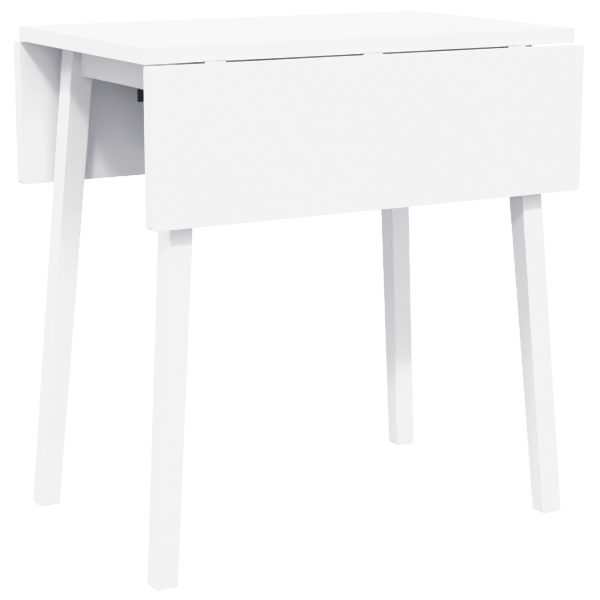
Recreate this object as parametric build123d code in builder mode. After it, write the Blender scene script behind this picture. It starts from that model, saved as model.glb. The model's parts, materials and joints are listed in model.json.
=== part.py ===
from build123d import *
import os
from math import sqrt

os.makedirs("parts", exist_ok=True)

# A small drop-leaf table: a fixed top on four splayed legs, with a hinged leaf on each long side.
# Each leaf hangs on three steel butt hinges, and two folding steel stays hold it up.
# Frame: origin on the floor under the middle of the top, +X along the hinge lines,
# +Y towards the back leaf, +Z up. Sizes are in millimetres.
# In the functions, sx and sy are -1 or 1: left or right, front or back.

# Boards
table_height = 740.0
top_length = 700.0
top_width = 424.0
board_thickness = 22.0
leaf_width = 213.4
board_edge_radius = 0.8
leaf_corner_radius = 5.0

# Legs: where the outer corner stands, and the section, on the floor and under the top
foot_corner = (346.4, 221.8)
foot_section = (33.5, 30.4)
head_corner = (290.9, 188.5)
head_section = (36.5, 38.5)
leg_edge_radius = 2.0
foot_chamfer = 1.5

# Rails and corner blocks
rail_height = 50.0
rail_thickness = 18.0
rail_setback = 12.5
rail_edge_radius = 1.0
block_thickness = 22.0
block_height = 42.0
block_leg_gap = 3.0
block_head_room = 30.0
block_screw_rise = 12.0
block_screw_in_block = 12.0
block_screw_from_rail = 24.0

# Leg bolts
bolt_radius = 3.0
bolt_in_leg = 30.0
bolt_past_block = 12.0
bolt_chamfer = 0.75
washer_radius = 9.0
washer_thickness = 1.6
nut_width = 10.0
nut_thickness = 5.0

# Foot glides
glide_radius = 9.0
glide_height = 0.6
glide_stem_radius = 2.5
glide_stem_length = 12.0
glide_chamfer = 0.25

# Leaf hinges
hinge_stations = {"left": -245.0, "middle": 0.0, "right": 245.0}
hinge_length = 30.0
hinge_plate_width = 22.5
hinge_plate_thickness = 1.3
hinge_plate_corner = 2.0
knuckle_radius = 2.0
knuckle_gap = 0.4
middle_knuckle = 10.0
hinge_pin_radius = 1.0
hinge_pin_head = 0.7
hinge_pin_head_radius = 1.5
leaf_rest_gap = 2.0
leaf_up_gap = 0.6
leaf_standoff = 1.2
hinge_notch_radius = 2.5
hinge_notch_length = 33.0
hinge_screw_spread = 20.0
hinge_screw_from_axis = 15.5

# Folding stays
stay_station = 133.0
stay_plate_width = 42.0
stay_plate_thickness = 2.5
stay_plate_bottom = 621.0
stay_plate_top = 712.0
stay_plate_corner = 1.5
stay_screw_spots = ((10.0, 13.0), (31.0, 13.0), (20.5, 35.0))
stay_pivot_y = 197.0
stay_pivot_z = 645.0
stay_ear_radius = 9.0
stay_ear_foot = 44.0
arm_gap = 0.5
arm_thickness = 3.0
arm_width = 12.0
stay_pin_radius = 3.0
stay_pin_head_radius = 5.0
stay_pin_head = 1.6
stay_pin_head_gap = 0.24
pad_radius = 7.0
pad_length = 11.6
pad_chamfer = 0.7
pad_side_gap = 0.2
stud_radius = 3.0
stud_head_radius = 4.5
stud_head = 1.4
striker_width = 20.0
striker_thickness = 1.6
striker_gap = 0.3
striker_lip_height = 1.8
striker_lip_clearance = 0.6
striker_near = 28.0
striker_far = 80.0
striker_screw_inset = 7.0

# Top brackets
bracket_arm = 22.0
bracket_width = 16.0
bracket_thickness = 2.0
bracket_screw_from_corner = 13.0
long_rail_bracket_x = 60.0

# Fasteners
running_clearance = 0.06
small_screw = {"head_radius": 2.5, "shank_radius": 1.5, "length": 14.0}
block_screw = {"head_radius": 3.6, "shank_radius": 1.9, "length": 24.0}
screw_tip = 3.0
screw_rim = 0.25
pilot_clearance = 0.05
pilot_extra = 0.5
cross_width = 0.8
cross_share = 1.15
cross_depth = 1.0

# Worked out from the sizes above
top_underside = table_height - board_thickness
rail_bottom = top_underside - rail_height
rail_outer = (head_corner[0] - rail_setback, head_corner[1] - rail_setback)
rail_inner = (rail_outer[0] - rail_thickness, rail_outer[1] - rail_thickness)

# The hinge axis lies so that a hanging leaf has leaf_rest_gap above it, and so that a raised
# leaf is flush with the top, with leaf_up_gap between the two edges.
leaf_inner_y = top_width / 2 + leaf_standoff
leaf_top_z = top_underside - leaf_rest_gap
hinge_z = top_underside + (leaf_up_gap - leaf_standoff - leaf_rest_gap) / 2
hinge_y = leaf_inner_y - (top_underside - hinge_z)

# A stay arm hangs straight down at rest. Raised, it leans at 45 degrees under the leaf.
arm_reach = (top_underside - striker_thickness - striker_gap - pad_radius - stay_pivot_z) * sqrt(2)
arm_outer_x = stay_station - arm_gap
arm_inner_x = arm_outer_x - arm_thickness
pad_outer_x = arm_inner_x - pad_side_gap
pad_inner_x = pad_outer_x - pad_length
pad_up_y = stay_pivot_y + arm_reach / sqrt(2)
striker_x = (pad_outer_x + pad_inner_x) / 2

corners = {
    "front_left": (-1, -1),
    "front_right": (1, -1),
    "back_left": (-1, 1),
    "back_right": (1, 1),
}
sides = {"front": -1, "back": 1}


def save(builder, name):
    """Labels a finished piece and writes its STEP file."""
    builder.part.label = name
    export_step(builder.part, f"parts/{name}.step")


def leg_outer(axis, z):
    """How far the outer face of a leg stands from the middle plane at height z."""
    share = z / top_underside
    return foot_corner[axis] + (head_corner[axis] - foot_corner[axis]) * share


def leg_width(axis, z):
    """How thick a leg is along X (axis 0) or Y (axis 1) at height z."""
    share = z / top_underside
    return foot_section[axis] + (head_section[axis] - foot_section[axis]) * share


def leg_inner(axis, z):
    """How far the inner face of a leg stands from the middle plane at height z."""
    return leg_outer(axis, z) - leg_width(axis, z)


def leg_centre(axis, z):
    """How far the middle of a leg's section stands from the middle plane at height z."""
    return leg_outer(axis, z) - leg_width(axis, z) / 2


def rod(x_from, x_to, y, z, radius, mode=Mode.ADD):
    """Adds or cuts a cylinder that lies along X in the current part."""
    with Locations(((x_from + x_to) / 2, y, z)):
        Cylinder(radius, abs(x_to - x_from), rotation=(0, 90, 0), mode=mode)


def screw(sizes):
    """A countersunk cross-head screw along -Z, with the top of its head at the origin."""
    head_radius = sizes["head_radius"]
    shank_radius = sizes["shank_radius"]
    length = sizes["length"]
    cone_end = screw_rim + head_radius - shank_radius
    with BuildPart() as one_screw:
        with BuildSketch(Plane.XZ):
            with BuildLine():
                Polyline(
                    (0, 0),
                    (head_radius, 0),
                    (head_radius, -screw_rim),
                    (shank_radius, -cone_end),
                    (shank_radius, screw_tip - length),
                    (0, -length),
                    close=True,
                )
            make_face()
        revolve(axis=Axis.Z)
        with BuildSketch(Plane.XY):
            Rectangle(cross_share * head_radius, cross_width)
            Rectangle(cross_width, cross_share * head_radius)
        extrude(amount=-cross_depth, mode=Mode.SUBTRACT)
    return one_screw.part


def screw_group(sizes, seats, name):
    """One node of equal screws, one in each seat plane."""
    shape = screw(sizes)
    with BuildPart() as screws:
        with Locations(*seats):
            add(shape)
    save(screws, name)


def pilot_holes(sizes, seats):
    """Cuts the holes in a board that the screws in these seats are driven into."""
    with Locations(*seats):
        Hole(sizes["shank_radius"] + pilot_clearance, sizes["length"] + pilot_extra)


def countersunk_holes(sizes, seats, depth):
    """Cuts the holes in a plate that the heads of these screws sit in."""
    with Locations(*seats):
        CounterSinkHole(
            sizes["shank_radius"] + pilot_clearance,
            sizes["head_radius"] + screw_rim + pilot_clearance,
            depth,
            counter_sink_angle=90,
        )


# Seats: each is a plane at the top of a screw's head, facing the way the head looks.
def hinge_top_seats(sy, station):
    seat_y = sy * (hinge_y - hinge_screw_from_axis)
    return [
        Plane(origin=(station + offset, seat_y, hinge_z), z_dir=(0, 0, -1))
        for offset in (-hinge_screw_spread / 2, hinge_screw_spread / 2)
    ]


def hinge_leaf_seats(sy, station):
    seat_z = hinge_z - hinge_screw_from_axis
    return [
        Plane(origin=(station + offset, sy * hinge_y, seat_z), z_dir=(0, -sy, 0))
        for offset in (-hinge_screw_spread / 2, hinge_screw_spread / 2)
    ]


def all_hinge_seats(seats, sy):
    return [seat for station in hinge_stations.values() for seat in seats(sy, station)]


def striker_seats(sx, sy):
    seat_y = sy * (leaf_inner_y - striker_thickness)
    return [
        Plane(origin=(sx * striker_x, seat_y, hinge_z - from_axis), z_dir=(0, -sy, 0))
        for from_axis in (striker_near + striker_screw_inset, striker_far - striker_screw_inset)
    ]


def stay_plate_seats(sx, sy):
    seat_y = sy * (rail_outer[1] + stay_plate_thickness)
    return [
        Plane(
            origin=(sx * (stay_station + from_ear), seat_y, top_underside - below_top),
            z_dir=(0, sy, 0),
        )
        for from_ear, below_top in stay_screw_spots
    ]


# Top brackets: where each one's corner is, and the direction it looks, away from its rail
long_bracket_frames = [
    ((x, sy * rail_inner[1]), (0, -sy))
    for sy in (-1, 1)
    for x in (-long_rail_bracket_x, long_rail_bracket_x)
]
end_bracket_frames = [((sx * rail_inner[0], 0), (-sx, 0)) for sx in (-1, 1)]
bracket_frames = long_bracket_frames + end_bracket_frames


def bracket_top_seats():
    depth = top_underside - bracket_thickness
    return [
        Plane(
            origin=(
                x + look_x * bracket_screw_from_corner,
                y + look_y * bracket_screw_from_corner,
                depth,
            ),
            z_dir=(0, 0, -1),
        )
        for (x, y), (look_x, look_y) in bracket_frames
    ]


def bracket_rail_seats(frames):
    return [
        Plane(
            origin=(
                x + look_x * bracket_thickness,
                y + look_y * bracket_thickness,
                top_underside - bracket_screw_from_corner,
            ),
            z_dir=(look_x, look_y, 0),
        )
        for (x, y), (look_x, look_y) in frames
    ]


# The corner block lies across the corner at 45 degrees. Its faces lie on lines x + y = constant.
leg_inner_corner = leg_inner(0, top_underside) + leg_inner(1, top_underside)
block_outer_line = leg_inner_corner - block_leg_gap * sqrt(2)
block_inner_line = block_outer_line - block_thickness * sqrt(2)
block_middle_z = top_underside - rail_height / 2
bolt_offset = leg_inner(0, top_underside) - leg_inner(1, top_underside)


def bolt_seat(sx, sy):
    """The plane on a corner block's inner face, on the bolt's axis, looking at the table's middle."""
    x = (block_inner_line + bolt_offset) / 2
    y = (block_inner_line - bolt_offset) / 2
    return Plane(origin=(sx * x, sy * y, block_middle_z), z_dir=(-sx, -sy, 0))


def block_screw_seats(sx, sy):
    """One screw into the end rail and one into the long rail, above and below the bolt."""
    end_y = rail_inner[1] - block_screw_from_rail
    long_x = rail_inner[0] - block_screw_from_rail
    end_seat = Plane(
        origin=(
            sx * (rail_inner[0] - block_screw_in_block),
            sy * end_y,
            block_middle_z + block_screw_rise,
        ),
        z_dir=(-sx, 0, 0),
    )
    long_seat = Plane(
        origin=(
            sx * long_x,
            sy * (rail_inner[1] - block_screw_in_block),
            block_middle_z - block_screw_rise,
        ),
        z_dir=(0, -sy, 0),
    )
    return end_seat, long_seat


def bolt_hole(sx, sy):
    """Cuts the hole of a leg bolt, which just clips the ends of both rails."""
    depth = block_thickness + block_leg_gap + bolt_in_leg + pilot_extra
    with Locations(bolt_seat(sx, sy)):
        Hole(bolt_radius + pilot_clearance, depth)


def table_top():
    with BuildPart() as board:
        with BuildSketch(Plane.XY.offset(top_underside)):
            Rectangle(top_length, top_width)
        extrude(amount=board_thickness)
        fillet(board.edges(), board_edge_radius)
        for sy in (-1, 1):
            for station in hinge_stations.values():
                rod(
                    station - hinge_notch_length / 2,
                    station + hinge_notch_length / 2,
                    sy * hinge_y,
                    hinge_z,
                    hinge_notch_radius,
                    mode=Mode.SUBTRACT,
                )
            pilot_holes(small_screw, all_hinge_seats(hinge_top_seats, sy))
        pilot_holes(small_screw, bracket_top_seats())
    save(board, "table_top")


def leaf(sy, side):
    inner = sy * leaf_inner_y
    with BuildPart() as board:
        with BuildSketch(Plane.XZ.offset(-inner)) as outline:
            with Locations((0, leaf_top_z - leaf_width / 2)):
                Rectangle(top_length, leaf_width)
            fillet(outline.vertices().group_by(Axis.Y)[0], leaf_corner_radius)
        extrude(amount=-sy * board_thickness)
        fillet(board.edges(), board_edge_radius)
        for station in hinge_stations.values():
            rod(
                station - hinge_notch_length / 2,
                station + hinge_notch_length / 2,
                sy * hinge_y,
                hinge_z,
                hinge_notch_radius,
                mode=Mode.SUBTRACT,
            )
        pilot_holes(small_screw, all_hinge_seats(hinge_leaf_seats, sy))
        pilot_holes(small_screw, striker_seats(-1, sy) + striker_seats(1, sy))
    save(board, f"{side}_leaf")


def leg(sx, sy, corner):
    with BuildPart() as post:
        for z in (glide_height, top_underside):
            with BuildSketch(Plane.XY.offset(z)):
                with Locations((sx * leg_centre(0, z), sy * leg_centre(1, z))):
                    RectangleRounded(leg_width(0, z), leg_width(1, z), leg_edge_radius)
        loft()
        chamfer(post.faces().sort_by(Axis.Z)[0].edges(), foot_chamfer)
        bolt_hole(sx, sy)
        foot_middle = (sx * leg_centre(0, 0), sy * leg_centre(1, 0), 0)
        with Locations(Plane(origin=foot_middle, z_dir=(0, 0, -1))):
            Hole(glide_stem_radius + pilot_clearance, glide_stem_length + pilot_extra)
    save(post, f"leg_{corner}")


def foot_glides():
    with BuildPart() as glides:
        for sx, sy in corners.values():
            foot_x = sx * leg_centre(0, 0)
            foot_y = sy * leg_centre(1, 0)
            with Locations((foot_x, foot_y, glide_height / 2)):
                Cylinder(glide_radius, glide_height)
            with Locations((foot_x, foot_y, glide_stem_length / 2)):
                Cylinder(glide_stem_radius, glide_stem_length)
        chamfer(glides.faces().group_by(Axis.Z)[0].edges(), glide_chamfer)
    save(glides, "foot_glides")


def end_rail(sx, side):
    low = leg_inner(1, rail_bottom)
    high = leg_inner(1, top_underside)
    with BuildPart() as rail:
        with BuildSketch(Plane.YZ.offset(sx * rail_inner[0])):
            with BuildLine():
                Polyline(
                    (-low, rail_bottom),
                    (low, rail_bottom),
                    (high, top_underside),
                    (-high, top_underside),
                    close=True,
                )
            make_face()
        extrude(amount=sx * rail_thickness)
        fillet(rail.edges().filter_by(Axis.Y).group_by(Axis.Z)[0], rail_edge_radius)
        pilot_holes(small_screw, bracket_rail_seats(end_bracket_frames))
        for sy in (-1, 1):
            pilot_holes(block_screw, [block_screw_seats(sx, sy)[0]])
            bolt_hole(sx, sy)
    save(rail, f"end_rail_{side}")


def long_rail(sy, side):
    low = leg_inner(0, rail_bottom)
    high = leg_inner(0, top_underside)
    with BuildPart() as rail:
        with BuildSketch(Plane.XZ.offset(-sy * rail_inner[1])):
            with BuildLine():
                Polyline(
                    (-low, rail_bottom),
                    (low, rail_bottom),
                    (high, top_underside),
                    (-high, top_underside),
                    close=True,
                )
            make_face()
        extrude(amount=-sy * rail_thickness)
        fillet(rail.edges().filter_by(Axis.X).group_by(Axis.Z)[0], rail_edge_radius)
        pilot_holes(small_screw, bracket_rail_seats(long_bracket_frames))
        for sx in (-1, 1):
            pilot_holes(small_screw, stay_plate_seats(sx, sy))
            pilot_holes(block_screw, [block_screw_seats(sx, sy)[1]])
            bolt_hole(sx, sy)
    save(rail, f"long_rail_{side}")


def corner_block(sx, sy, corner):
    outline = (
        (sx * rail_inner[0], sy * (block_outer_line - rail_inner[0])),
        (sx * (block_outer_line - rail_inner[1]), sy * rail_inner[1]),
        (sx * (block_inner_line - rail_inner[1]), sy * rail_inner[1]),
        (sx * rail_inner[0], sy * (block_inner_line - rail_inner[0])),
    )
    with BuildPart() as block:
        with BuildSketch(Plane.XY.offset(block_middle_z - block_height / 2)):
            with BuildLine():
                Polyline(*outline, close=True)
            make_face()
        extrude(amount=block_height)
        bolt_hole(sx, sy)
        for seat in block_screw_seats(sx, sy):
            with Locations(seat):
                Hole(block_screw["shank_radius"] + pilot_clearance, block_screw["length"])
            with Locations(seat.offset(block_head_room)):
                Hole(block_screw["head_radius"] + pilot_clearance, block_head_room)
            countersunk_holes(block_screw, [seat], block_screw["length"])
    save(block, f"corner_block_{corner}")


def leg_bolts():
    length = bolt_past_block + block_thickness + block_leg_gap + bolt_in_leg
    with BuildPart() as bolts:
        for sx, sy in corners.values():
            with Locations(bolt_seat(sx, sy).offset(bolt_past_block - length / 2)):
                Cylinder(bolt_radius, length)
        chamfer(bolts.edges().filter_by(GeomType.CIRCLE), bolt_chamfer)
    save(bolts, "leg_bolts")


def leg_washers():
    with BuildPart() as washers:
        for sx, sy in corners.values():
            with Locations(bolt_seat(sx, sy).offset(washer_thickness / 2)):
                Cylinder(washer_radius, washer_thickness)
                Cylinder(bolt_radius + pilot_clearance, washer_thickness, mode=Mode.SUBTRACT)
    save(washers, "leg_washers")


def leg_nuts():
    with BuildPart() as nuts:
        for sx, sy in corners.values():
            with BuildSketch(bolt_seat(sx, sy).offset(washer_thickness)):
                RegularPolygon(nut_width / 2, 6, major_radius=False)
                Circle(bolt_radius + pilot_clearance, mode=Mode.SUBTRACT)
            extrude(amount=nut_thickness)
    save(nuts, "leg_nuts")


def hinge_top_plate(sy, side, place):
    """The fixed half: a plate under the top with the two outer knuckles."""
    station = hinge_stations[place]
    barrel_start = middle_knuckle / 2 + knuckle_gap
    barrel_end = hinge_length / 2
    body_edge = hinge_y - hinge_notch_radius
    inner_edge = hinge_y - hinge_plate_width
    with BuildPart() as plate:
        with BuildSketch(Plane.XY.offset(hinge_z)) as outline:
            with Locations((station, sy * (body_edge + inner_edge) / 2)):
                Rectangle(hinge_length, body_edge - inner_edge)
            inner_corners = outline.vertices().sort_by(lambda corner: sy * corner.Y)[:2]
            fillet(inner_corners, hinge_plate_corner)
            for end in (-1, 1):
                with Locations(
                    (station + end * (barrel_start + barrel_end) / 2, sy * (body_edge + hinge_y) / 2)
                ):
                    Rectangle(barrel_end - barrel_start, hinge_notch_radius)
        extrude(amount=hinge_plate_thickness)
        for end in (-1, 1):
            near = station + end * barrel_start
            far = station + end * barrel_end
            rod(near, far, sy * hinge_y, hinge_z, knuckle_radius)
            rod(
                near,
                far,
                sy * hinge_y,
                hinge_z,
                hinge_pin_radius + running_clearance,
                mode=Mode.SUBTRACT,
            )
        countersunk_holes(small_screw, hinge_top_seats(sy, station), hinge_plate_thickness)
    save(plate, f"hinge_top_plate_{side}_{place}")


def hinge_leaf_plate(sy, side, place):
    """The moving half: a plate on the inner face of the leaf with the middle knuckle."""
    station = hinge_stations[place]
    body_edge = hinge_z - hinge_notch_radius
    lower_edge = hinge_z - hinge_plate_width
    with BuildPart() as plate:
        with BuildSketch(Plane.XZ.offset(-sy * hinge_y)) as outline:
            with Locations((station, (body_edge + lower_edge) / 2)):
                Rectangle(hinge_length, body_edge - lower_edge)
            fillet(outline.vertices().group_by(Axis.Y)[0], hinge_plate_corner)
            with Locations((station, (body_edge + hinge_z) / 2)):
                Rectangle(middle_knuckle, hinge_notch_radius)
        extrude(amount=-sy * hinge_plate_thickness)
        near = station - middle_knuckle / 2
        far = station + middle_knuckle / 2
        rod(near, far, sy * hinge_y, hinge_z, knuckle_radius)
        rod(
            near,
            far,
            sy * hinge_y,
            hinge_z,
            hinge_pin_radius + running_clearance,
            mode=Mode.SUBTRACT,
        )
        countersunk_holes(small_screw, hinge_leaf_seats(sy, station), hinge_plate_thickness)
    save(plate, f"hinge_leaf_plate_{side}_{place}")


def hinge_pins(sy, side):
    with BuildPart() as pins:
        for station in hinge_stations.values():
            end = hinge_length / 2
            rod(station - end, station + end, sy * hinge_y, hinge_z, hinge_pin_radius)
            for way in (-1, 1):
                head_start = station + way * end
                rod(
                    head_start,
                    head_start + way * hinge_pin_head,
                    sy * hinge_y,
                    hinge_z,
                    hinge_pin_head_radius,
                )
    save(pins, f"hinge_pins_{side}")


def stay_bracket(sx, sy, corner):
    """A plate on the long rail's outer face, with an ear at its edge that carries the pivot."""
    plate_y = sy * rail_outer[1]
    pivot_y = sy * stay_pivot_y
    with BuildPart() as bracket:
        with BuildSketch(Plane.XZ.offset(-plate_y)) as outline:
            with Locations(
                (
                    sx * (stay_station + stay_plate_width / 2),
                    (stay_plate_top + stay_plate_bottom) / 2,
                )
            ):
                Rectangle(stay_plate_width, stay_plate_top - stay_plate_bottom)
            far_corners = outline.vertices().sort_by(lambda corner: -sx * corner.X)[:2]
            fillet(far_corners, stay_plate_corner)
        extrude(amount=-sy * stay_plate_thickness)
        with BuildSketch(Plane.YZ.offset(sx * stay_station)):
            with BuildLine():
                Polyline(
                    (plate_y, stay_pivot_z - stay_ear_foot / 2),
                    (pivot_y, stay_pivot_z - stay_ear_radius),
                    (pivot_y, stay_pivot_z + stay_ear_radius),
                    (plate_y, stay_pivot_z + stay_ear_foot / 2),
                    close=True,
                )
            make_face()
            with Locations((pivot_y, stay_pivot_z)):
                Circle(stay_ear_radius)
        extrude(amount=sx * stay_plate_thickness)
        rod(
            sx * stay_station,
            sx * (stay_station + stay_plate_thickness),
            pivot_y,
            stay_pivot_z,
            stay_pin_radius + pilot_clearance,
            mode=Mode.SUBTRACT,
        )
        countersunk_holes(small_screw, stay_plate_seats(sx, sy), stay_plate_thickness)
    save(bracket, f"stay_bracket_{corner}")


def stay_pivot_pins():
    with BuildPart() as pins:
        for sx, sy in corners.values():
            inner_head = arm_inner_x - stay_pin_head_gap
            ear_outside = stay_station + stay_plate_thickness
            spans = (
                (inner_head, ear_outside, stay_pin_radius),
                (ear_outside, ear_outside + stay_pin_head, stay_pin_head_radius),
                (inner_head - stay_pin_head, inner_head, stay_pin_head_radius),
            )
            for near, far, radius in spans:
                rod(sx * near, sx * far, sy * stay_pivot_y, stay_pivot_z, radius)
    save(pins, "stay_pivot_pins")


def stay_arm(sx, sy, corner):
    """A flat bar that hangs from the pivot, with the stud of the pad at its lower end."""
    arm_y = sy * stay_pivot_y
    stud_z = stay_pivot_z - arm_reach
    with BuildPart() as arm:
        with BuildSketch(Plane.YZ.offset(sx * arm_inner_x)):
            with Locations((arm_y, stay_pivot_z - arm_reach / 2)):
                SlotCenterToCenter(arm_reach, arm_width, rotation=90)
            with Locations((arm_y, stay_pivot_z)):
                Circle(stay_pin_radius + running_clearance, mode=Mode.SUBTRACT)
        extrude(amount=sx * arm_thickness)
        rod(sx * arm_inner_x, sx * pad_inner_x, arm_y, stud_z, stud_radius)
        rod(sx * pad_inner_x, sx * (pad_inner_x - stud_head), arm_y, stud_z, stud_head_radius)
    save(arm, f"stay_arm_{corner}")


def stay_pad(sx, sy, corner):
    """The plastic sleeve on the stud of an arm, which bears on the raised leaf."""
    arm_y = sy * stay_pivot_y
    stud_z = stay_pivot_z - arm_reach
    with BuildPart() as pad:
        rod(sx * pad_inner_x, sx * pad_outer_x, arm_y, stud_z, pad_radius)
        chamfer(pad.edges().filter_by(GeomType.CIRCLE), pad_chamfer)
        rod(
            sx * pad_inner_x,
            sx * pad_outer_x,
            arm_y,
            stud_z,
            stud_radius + pilot_clearance,
            mode=Mode.SUBTRACT,
        )
    save(pad, f"stay_pad_{corner}")


def striker_plates(sy, side):
    """Two plates on the inner face of a leaf, each with a lip that keeps the raised pad in place."""
    face_y = leaf_inner_y - striker_thickness
    near_z = hinge_z - striker_near
    far_z = hinge_z - striker_far
    lip_z = hinge_z - (pad_up_y - hinge_y) - pad_radius + striker_lip_clearance
    with BuildPart() as strikers:
        for sx in (-1, 1):
            with BuildSketch(Plane.XZ.offset(-sy * face_y)):
                with Locations((sx * striker_x, (near_z + far_z) / 2)):
                    RectangleRounded(striker_width, near_z - far_z, hinge_plate_corner)
            extrude(amount=-sy * striker_thickness)
            with BuildSketch(Plane.XY.offset(lip_z)):
                with Locations((sx * striker_x, sy * (face_y - striker_lip_height / 2))):
                    Rectangle(striker_width, striker_lip_height)
            extrude(amount=-striker_thickness)
            countersunk_holes(small_screw, striker_seats(sx, sy), striker_thickness)
    save(strikers, f"striker_plates_{side}")


def top_brackets():
    """Small angle brackets inside the rails, which hold the top down."""
    with BuildPart() as brackets:
        for (x, y), (look_x, look_y) in bracket_frames:
            half = bracket_width / 2
            wing = Plane(
                origin=(x - look_y * half, y + look_x * half, top_underside),
                x_dir=(look_x, look_y, 0),
                z_dir=(look_y, -look_x, 0),
            )
            with BuildSketch(wing):
                with BuildLine():
                    Polyline(
                        (0, 0),
                        (bracket_arm, 0),
                        (bracket_arm, -bracket_thickness),
                        (bracket_thickness, -bracket_thickness),
                        (bracket_thickness, -bracket_arm),
                        (0, -bracket_arm),
                        close=True,
                    )
                make_face()
            extrude(amount=bracket_width)
        countersunk_holes(small_screw, bracket_top_seats(), bracket_thickness)
        countersunk_holes(small_screw, bracket_rail_seats(bracket_frames), bracket_thickness)
    save(brackets, "top_brackets")


table_top()
for side_name, side_sign in sides.items():
    leaf(side_sign, side_name)
    long_rail(side_sign, side_name)
    for place_name in hinge_stations:
        hinge_top_plate(side_sign, side_name, place_name)
        hinge_leaf_plate(side_sign, side_name, place_name)
    hinge_pins(side_sign, side_name)
    striker_plates(side_sign, side_name)
    screw_group(
        small_screw,
        all_hinge_seats(hinge_top_seats, side_sign),
        f"hinge_top_screws_{side_name}",
    )
    screw_group(
        small_screw,
        all_hinge_seats(hinge_leaf_seats, side_sign),
        f"hinge_leaf_screws_{side_name}",
    )
    screw_group(
        small_screw,
        striker_seats(-1, side_sign) + striker_seats(1, side_sign),
        f"striker_screws_{side_name}",
    )

end_rail(-1, "left")
end_rail(1, "right")

for corner_name, (corner_sx, corner_sy) in corners.items():
    leg(corner_sx, corner_sy, corner_name)
    corner_block(corner_sx, corner_sy, corner_name)
    stay_bracket(corner_sx, corner_sy, corner_name)
    stay_arm(corner_sx, corner_sy, corner_name)
    stay_pad(corner_sx, corner_sy, corner_name)

foot_glides()
leg_bolts()
leg_washers()
leg_nuts()
stay_pivot_pins()
top_brackets()

screw_group(
    block_screw,
    [seat for sx, sy in corners.values() for seat in block_screw_seats(sx, sy)],
    "corner_block_screws",
)
screw_group(
    small_screw,
    [seat for sx, sy in corners.values() for seat in stay_plate_seats(sx, sy)],
    "stay_bracket_screws",
)
screw_group(
    small_screw,
    bracket_top_seats() + bracket_rail_seats(bracket_frames),
    "top_bracket_screws",
)
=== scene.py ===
import json
import math

import bpy
from mathutils import Matrix, Vector

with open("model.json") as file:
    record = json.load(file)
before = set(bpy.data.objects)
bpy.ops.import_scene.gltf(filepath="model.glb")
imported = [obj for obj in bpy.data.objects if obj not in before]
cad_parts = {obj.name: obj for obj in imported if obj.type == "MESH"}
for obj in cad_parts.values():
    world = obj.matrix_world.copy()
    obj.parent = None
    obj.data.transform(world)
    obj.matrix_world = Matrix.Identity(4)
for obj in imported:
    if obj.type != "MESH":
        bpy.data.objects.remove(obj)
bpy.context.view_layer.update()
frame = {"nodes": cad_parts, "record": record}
nodes = frame["nodes"]
slots = {part["node"]: part["material_slot"] for part in frame["record"]["subparts"]}

MM = 0.001

# Camera: where it stands round the table's origin, and how it looks. Lengths in metres, but the lens in mm.
CAMERA_AZIMUTH = 29.884
CAMERA_DISTANCE = 2.8285
CAMERA_HEIGHT = 0.9564
CAMERA_TURN = 0.133
CAMERA_PITCH = 12.517
CAMERA_ROLL = 0.126
CAMERA_SENSOR = 36.0
CAMERA_LENS = 114.60

# Light: two suns, and a studio that is brighter towards some sides, each an axis, a sign and a slope
KEY_DIRECTION = (0.42, 0.69, -0.60)
KEY_STRENGTH = 1.28
KEY_ANGLE = 5.5
SIDE_DIRECTION = (0.78, 0.06, -0.62)
SIDE_STRENGTH = 0.82
SIDE_ANGLE = 10.0
STUDIO_LEVEL = 0.69
STUDIO_SIDES = (
    ("X", 1.0, 0.25),
    ("Y", -1.0, 1.28),
    ("Y", 1.0, 1.18),
)
BACKDROP_SEEN = 1.96
FLOOR_SIZE = 60.0
FLOOR_SHADE = 0.3
FLOOR_ROUGHNESS = 0.9

# Tone: what each level of light is shown as. Shade is a little deeper, and highlights are rolled off, so that
# sunlit white keeps its shape. Blue is raised first, and only in the shade.
TONE_WHITE = 2.0
TONE_POINTS = (
    (0.3, 0.277),
    (0.36, 0.337),
    (0.42, 0.443),
    (0.5, 0.51),
    (0.7, 0.7),
    (0.85, 0.87),
    (0.95, 0.888),
    (1.2, 0.905),
    (1.4, 0.935),
    (1.6, 0.96),
)
TONE_BLUE_POINTS = (
    (0.015, 0.02),
    (0.28, 0.315),
    (0.34, 0.366),
    (0.38, 0.4),
    (0.43, 0.463),
    (0.6, 0.63),
    (0.66, 0.675),
    (0.71, 0.71),
)


def grey(level):
    return (level, level, level, 1.0)


# Colours: each finish drifts between a dark and a light shade, and is rubbed to a third along its edges
WHITE_DARK = grey(0.795)
WHITE_LIGHT = grey(0.81)
WHITE_GRAIN = grey(0.76)
FOIL_RUBBED = (0.76, 0.755, 0.74, 1.0)
PAINT_RUBBED = (0.77, 0.765, 0.745, 1.0)
WOOD_DARK = (0.62, 0.44, 0.26, 1.0)
WOOD_LIGHT = (0.74, 0.57, 0.37, 1.0)
WOOD_PORE = (0.42, 0.27, 0.15, 1.0)
WOOD_RUBBED = (0.80, 0.66, 0.47, 1.0)
BRASS_DARK = (0.78, 0.71, 0.58, 1.0)
BRASS_LIGHT = (0.87, 0.81, 0.70, 1.0)
BRASS_RUBBED = (0.92, 0.87, 0.77, 1.0)
ZINC_DARK = (0.55, 0.56, 0.58, 1.0)
ZINC_LIGHT = (0.70, 0.71, 0.73, 1.0)
ZINC_RUBBED = (0.80, 0.80, 0.81, 1.0)
BLACK_DARK = (0.008, 0.008, 0.012, 1.0)
BLACK_LIGHT = (0.015, 0.015, 0.02, 1.0)
BLACK_RUBBED = (0.09, 0.09, 0.095, 1.0)
GREY_PLASTIC_LEVEL = 0.12
WHITE_PLASTIC_LEVEL = 0.7

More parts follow.
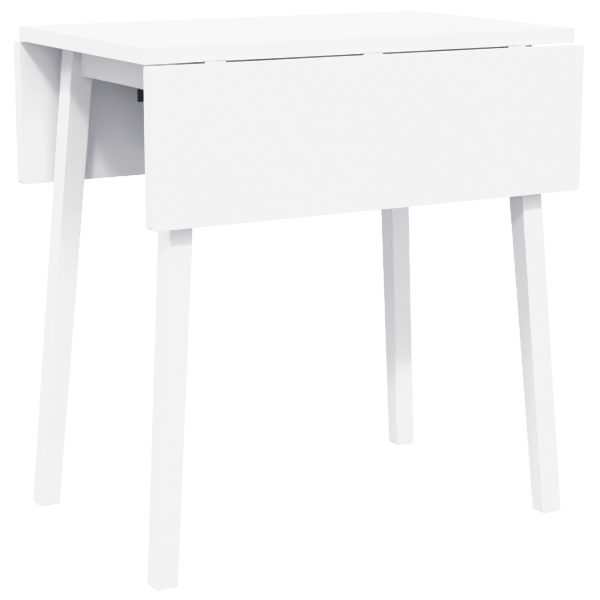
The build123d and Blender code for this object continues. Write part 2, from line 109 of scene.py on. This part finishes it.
# Grain: how often the noise repeats along X, Y and Z, per metre. A low number is along the grain.
LEG_GRAIN = (240.0, 240.0, 9.0)
LONG_RAIL_GRAIN = (9.0, 240.0, 240.0)
END_RAIL_GRAIN = (240.0, 9.0, 240.0)
WOOD_GRAIN = (220.0, 220.0, 18.0)
WOOD_PORES = (900.0, 900.0, 60.0)
BRASS_BRUSH = (900.0, 60.0, 900.0)
ZINC_BRUSH = (500.0, 500.0, 500.0)

# Wear: an edge counts as rubbed where its rounded normal leans away from the face, from START to FULL
WEAR_START = 0.97
WEAR_FULL = 0.8
WEAR_PATCHES = 110.0

# The middle of a noise's range, which spread() stretches to a full share
NOISE_LOW = 0.3
NOISE_HIGH = 0.7


class Nodes:
    """A node tree, with short calls for making and joining its nodes."""

    def __init__(self, tree):
        self.tree = tree

    def node(self, kind, **values):
        made = self.tree.nodes.new(kind)
        for name, value in values.items():
            setattr(made, name, value)
        return made

    def link(self, source, target):
        self.tree.links.new(source, target)

    def feed(self, target, value):
        """Sets a socket to a number or colour, or links another socket to it."""
        if isinstance(value, bpy.types.NodeSocket):
            self.link(value, target)
        else:
            target.default_value = value

    def maths(self, operation, first, second):
        made = self.node("ShaderNodeMath", operation=operation)
        self.feed(made.inputs[0], first)
        self.feed(made.inputs[1], second)
        return made.outputs[0]


class Shader(Nodes):
    """A material's node tree, with the textures and wear that the materials share."""

    def __init__(self, name):
        self.material = bpy.data.materials.new(name)
        self.material.use_nodes = True
        super().__init__(self.material.node_tree)
        self.surface = self.tree.nodes["Principled BSDF"]
        self.place = self.node("ShaderNodeTexCoord").outputs["Object"]

    def stretch(self, scale):
        mapping = self.node("ShaderNodeMapping")
        self.link(self.place, mapping.inputs["Vector"])
        mapping.inputs["Scale"].default_value = scale
        return mapping.outputs["Vector"]

    def noise(self, scale, detail=2.0, roughness=0.5, vector=None, distortion=0.0):
        made = self.node("ShaderNodeTexNoise")
        self.link(vector or self.place, made.inputs["Vector"])
        made.inputs["Scale"].default_value = scale
        made.inputs["Detail"].default_value = detail
        made.inputs["Roughness"].default_value = roughness
        made.inputs["Distortion"].default_value = distortion
        return made.outputs["Fac"]

    def spread(self, value, low=NOISE_LOW, high=NOISE_HIGH, to_low=0.0, to_high=1.0):
        """Maps low..high to to_low..to_high, held at both ends."""
        made = self.node("ShaderNodeMapRange")
        self.link(value, made.inputs["Value"])
        made.inputs["From Min"].default_value = low
        made.inputs["From Max"].default_value = high
        made.inputs["To Min"].default_value = to_low
        made.inputs["To Max"].default_value = to_high
        return made.outputs["Result"]

    def mix(self, share, first, second):
        made = self.node("ShaderNodeMix", data_type="RGBA")
        colour_a, colour_b = (socket for socket in made.inputs if socket.type == "RGBA")
        self.feed(made.inputs["Factor"], share)
        self.feed(colour_a, first)
        self.feed(colour_b, second)
        return next(socket for socket in made.outputs if socket.type == "RGBA")

    def bump(self, height, distance, strength=0.6, before=None):
        made = self.node("ShaderNodeBump")
        self.link(height, made.inputs["Height"])
        made.inputs["Distance"].default_value = distance
        made.inputs["Strength"].default_value = strength
        if before is not None:
            self.link(before, made.inputs["Normal"])
        return made.outputs["Normal"]

    def wear(self, radius, share):
        """How far a spot is rubbed: up to share on edges within radius, broken up by noise."""
        edge = self.node("ShaderNodeBevel", samples=4)
        edge.inputs["Radius"].default_value = radius
        shape = self.node("ShaderNodeNewGeometry")
        turned = self.node("ShaderNodeVectorMath", operation="DOT_PRODUCT")
        self.link(edge.outputs["Normal"], turned.inputs[0])
        self.link(shape.outputs["Normal"], turned.inputs[1])
        near = self.spread(turned.outputs["Value"], WEAR_START, WEAR_FULL)
        patches = self.spread(self.noise(WEAR_PATCHES, 4.0, 0.65), 0.4, 0.6, 0.25, 1.0)
        return self.maths("MULTIPLY", self.maths("MULTIPLY", near, patches), share)

    def polish(self, rough, worn, amount):
        """Makes rubbed spots smoother by up to amount."""
        return self.maths("SUBTRACT", rough, self.maths("MULTIPLY", worn, amount))

    def finish(self, colour, roughness, normal, metallic=0.0):
        self.feed(self.surface.inputs["Base Color"], colour)
        self.feed(self.surface.inputs["Roughness"], roughness)
        self.feed(self.surface.inputs["Normal"], normal)
        self.surface.inputs["Metallic"].default_value = metallic
        return self.material


def white_board():
    """Satin white foil: a faint pearl grain, slow waves, smudges in the sheen, edges a little handled."""
    s = Shader("white_board")
    cloud = s.spread(s.noise(4.0, 3.0))
    worn = s.wear(0.8 * MM, 0.5)
    colour = s.mix(worn, s.mix(cloud, WHITE_DARK, WHITE_LIGHT), FOIL_RUBBED)
    smudge = s.spread(s.noise(9.0, 4.0, 0.6), 0.35, 0.7, 0.38, 0.46)
    waves = s.bump(s.noise(7.0, 1.0), 0.3 * MM)
    peel = s.bump(s.noise(220.0), 0.05 * MM, before=waves)
    grain = s.bump(s.noise(1400.0), 0.03 * MM, before=peel)
    return s.finish(colour, s.maths("ADD", smudge, s.maths("MULTIPLY", worn, 0.2)), grain)


def painted_wood(name, scale):
    """White paint over wood: the grain shows through as long shallow ridges, and edges are rubbed."""
    s = Shader(name)
    grain = s.noise(1.0, 4.0, 0.55, vector=s.stretch(scale), distortion=0.2)
    cloud = s.spread(s.noise(6.0, 3.0))
    worn = s.wear(1.2 * MM, 0.5)
    colour = s.mix(worn, s.mix(cloud, WHITE_DARK, WHITE_LIGHT), PAINT_RUBBED)
    colour = s.mix(s.spread(grain, 0.62, 0.75, 0.0, 0.3), colour, WHITE_GRAIN)
    sheen = s.spread(grain, to_low=0.36, to_high=0.44)
    ridges = s.bump(grain, 0.25 * MM, 0.7)
    peel = s.bump(s.noise(500.0), 0.04 * MM, before=ridges)
    return s.finish(colour, s.polish(sheen, worn, 0.15), peel)


def plain_wood():
    """Sawn softwood: light and dark growth lines, darker pores and a furry cut."""
    s = Shader("plain_wood")
    grain = s.noise(1.0, 5.0, 0.6, vector=s.stretch(WOOD_GRAIN), distortion=0.4)
    pores = s.noise(1.0, vector=s.stretch(WOOD_PORES))
    colour = s.mix(s.spread(grain), WOOD_DARK, WOOD_LIGHT)
    colour = s.mix(s.spread(pores, 0.6, 0.75, 0.0, 0.5), colour, WOOD_PORE)
    colour = s.mix(s.wear(1.0 * MM, 0.5), colour, WOOD_RUBBED)
    cut = s.bump(pores, 0.1 * MM, before=s.bump(grain, 0.2 * MM, 0.7))
    return s.finish(colour, s.spread(grain, to_low=0.62, to_high=0.72), cut)


def metal(name, dark, light, rubbed, smoothest, brush):
    """Plated metal: brushed streaks, faint stains, and brighter edges where it's rubbed."""
    s = Shader(name)
    streaks = s.noise(1.0, 3.0, 0.6, vector=s.stretch(brush))
    stain = s.spread(s.noise(160.0, 3.0, 0.6))
    worn = s.wear(0.3 * MM, 0.7)
    colour = s.mix(worn, s.mix(stain, dark, light), rubbed)
    sheen = s.spread(streaks, to_low=smoothest, to_high=0.4)
    return s.finish(colour, s.polish(sheen, worn, 0.12), s.bump(streaks, 0.01 * MM), metallic=1.0)


def black_steel():
    """Black powder coat: pebbled, a little dusty, and rubbed to grey along its edges."""
    s = Shader("black_steel")
    peel = s.noise(900.0, 3.0, 0.6)
    colour = s.mix(s.spread(s.noise(60.0, 3.0)), BLACK_DARK, BLACK_LIGHT)
    worn = s.wear(0.4 * MM, 0.6)
    colour = s.mix(worn, colour, BLACK_RUBBED)
    sheen = s.spread(peel, to_low=0.46, to_high=0.58)
    return s.finish(colour, s.polish(sheen, worn, 0.15), s.bump(peel, 0.05 * MM, 0.7))


def plastic(name, level):
    """Moulded plastic: fine spark texture, a slight colour drift and shiny rubbed edges."""
    s = Shader(name)
    spark = s.noise(1600.0, 3.0, 0.6)
    colour = s.mix(s.spread(s.noise(90.0, 3.0)), grey(level * 0.92), grey(level))
    worn = s.wear(0.3 * MM, 0.6)
    colour = s.mix(worn, colour, grey(level * 0.8 + 0.1))
    sheen = s.spread(spark, to_low=0.45, to_high=0.6)
    return s.finish(colour, s.polish(sheen, worn, 0.15), s.bump(spark, 0.02 * MM, 0.7))


# One material for each slot of the record, except that the white frame's grain follows each kind of piece
slot_materials = {
    "white_board": white_board(),
    "plain_wood": plain_wood(),
    "hinge_brass": metal("hinge_brass", BRASS_DARK, BRASS_LIGHT, BRASS_RUBBED, 0.28, BRASS_BRUSH),
    "zinc_steel": metal("zinc_steel", ZINC_DARK, ZINC_LIGHT, ZINC_RUBBED, 0.25, ZINC_BRUSH),
    "black_steel": black_steel(),
    "grey_plastic": plastic("grey_plastic", GREY_PLASTIC_LEVEL),
    "white_plastic": plastic("white_plastic", WHITE_PLASTIC_LEVEL),
}
frame_materials = {
    "leg": painted_wood("leg_paint", LEG_GRAIN),
    "long": painted_wood("long_rail_paint", LONG_RAIL_GRAIN),
    "end": painted_wood("end_rail_paint", END_RAIL_GRAIN),
}


def material_for(node):
    slot = slots[node]
    if slot == "white_frame":
        return frame_materials[node.split("_")[0]]
    return slot_materials[slot]


for name, piece in nodes.items():
    piece.data.materials.clear()
    piece.data.materials.append(material_for(name))


def make_floor():
    """A pale floor. The camera sees it as bright as the studio behind it, so it shows almost no shadow."""
    half = FLOOR_SIZE / 2
    corners = [(-half, -half, 0), (half, -half, 0), (half, half, 0), (-half, half, 0)]
    mesh = bpy.data.meshes.new("floor")
    mesh.from_pydata(corners, [], [(0, 1, 2, 3)])
    floor = bpy.data.objects.new("floor", mesh)
    bpy.context.scene.collection.objects.link(floor)
    s = Shader("floor")
    s.finish(grey(FLOOR_SHADE), FLOOR_ROUGHNESS, s.bump(s.noise(40.0), 0.01 * MM, 0.1))
    seen = s.node("ShaderNodeLightPath").outputs["Is Camera Ray"]
    s.surface.inputs["Emission Color"].default_value = grey(1.0)
    s.link(s.maths("MULTIPLY", seen, BACKDROP_SEEN), s.surface.inputs["Emission Strength"])
    s.surface.inputs["Specular IOR Level"].default_value = 0.0
    mesh.materials.append(s.material)


def make_world():
    """A white studio, brighter towards some sides. What the camera sees of it is its own level."""
    world = bpy.data.worlds.new("studio")
    world.use_nodes = True
    bpy.context.scene.world = world
    studio = Nodes(world.node_tree)
    place = studio.node("ShaderNodeTexCoord")
    direction = studio.node("ShaderNodeSeparateXYZ")
    studio.link(place.outputs["Generated"], direction.inputs["Vector"])
    level = STUDIO_LEVEL
    for axis, sign, strength in STUDIO_SIDES:
        facing = studio.maths("MULTIPLY", direction.outputs[axis], sign * strength)
        level = studio.maths("ADD", studio.maths("MAXIMUM", facing, 0.0), level)
    light = world.node_tree.nodes["Background"]
    light.inputs["Color"].default_value = grey(1.0)
    studio.link(level, light.inputs["Strength"])
    seen = studio.node("ShaderNodeBackground")
    seen.inputs["Color"].default_value = grey(1.0)
    seen.inputs["Strength"].default_value = BACKDROP_SEEN
    path = studio.node("ShaderNodeLightPath")
    choose = studio.node("ShaderNodeMixShader")
    studio.link(path.outputs["Is Camera Ray"], choose.inputs["Fac"])
    studio.link(light.outputs["Background"], choose.inputs[1])
    studio.link(seen.outputs["Background"], choose.inputs[2])
    studio.link(choose.outputs["Shader"], world.node_tree.nodes["World Output"].inputs["Surface"])


def make_sun(name, direction, strength, angle):
    lamp = bpy.data.lights.new(name, "SUN")
    lamp.energy = strength
    lamp.angle = math.radians(angle)
    sun = bpy.data.objects.new(name, lamp)
    sun.rotation_mode = "QUATERNION"
    sun.rotation_quaternion = Vector(direction).to_track_quat("-Z", "Y")
    bpy.context.scene.collection.objects.link(sun)


def make_camera():
    lens = bpy.data.cameras.new("camera")
    lens.sensor_width = CAMERA_SENSOR
    lens.lens = CAMERA_LENS
    camera = bpy.data.objects.new("camera", lens)
    bpy.context.scene.collection.objects.link(camera)
    azimuth = math.radians(CAMERA_AZIMUTH)
    position = Vector((-math.sin(azimuth), -math.cos(azimuth), 0)) * CAMERA_DISTANCE
    position.z = CAMERA_HEIGHT
    turn = Matrix.Rotation(-azimuth - math.radians(CAMERA_TURN), 4, "Z")
    pitch = Matrix.Rotation(math.radians(90.0 - CAMERA_PITCH), 4, "X")
    roll = Matrix.Rotation(math.radians(CAMERA_ROLL), 4, "Z")
    camera.matrix_world = Matrix.Translation(position) @ turn @ pitch @ roll
    bpy.context.scene.camera = camera


def make_tone():
    """The standard view, with a soft shoulder for the whites and a bluer shade."""
    view = bpy.context.scene.view_settings
    view.view_transform = "Standard"
    view.use_curve_mapping = True
    tone = view.curve_mapping
    tone.white_level = (TONE_WHITE, TONE_WHITE, TONE_WHITE)
    blue, combined = tone.curves[2], tone.curves[3]
    for level, raised in TONE_BLUE_POINTS:
        blue.points.new(level / TONE_WHITE, raised / TONE_WHITE)
    for level, shown in TONE_POINTS:
        combined.points.new(level / TONE_WHITE, shown)
    for point in (*blue.points, *combined.points):
        point.handle_type = "VECTOR"
    tone.update()


make_floor()
make_world()
make_sun("key", KEY_DIRECTION, KEY_STRENGTH, KEY_ANGLE)
make_sun("side", SIDE_DIRECTION, SIDE_STRENGTH, SIDE_ANGLE)
make_camera()
make_tone()
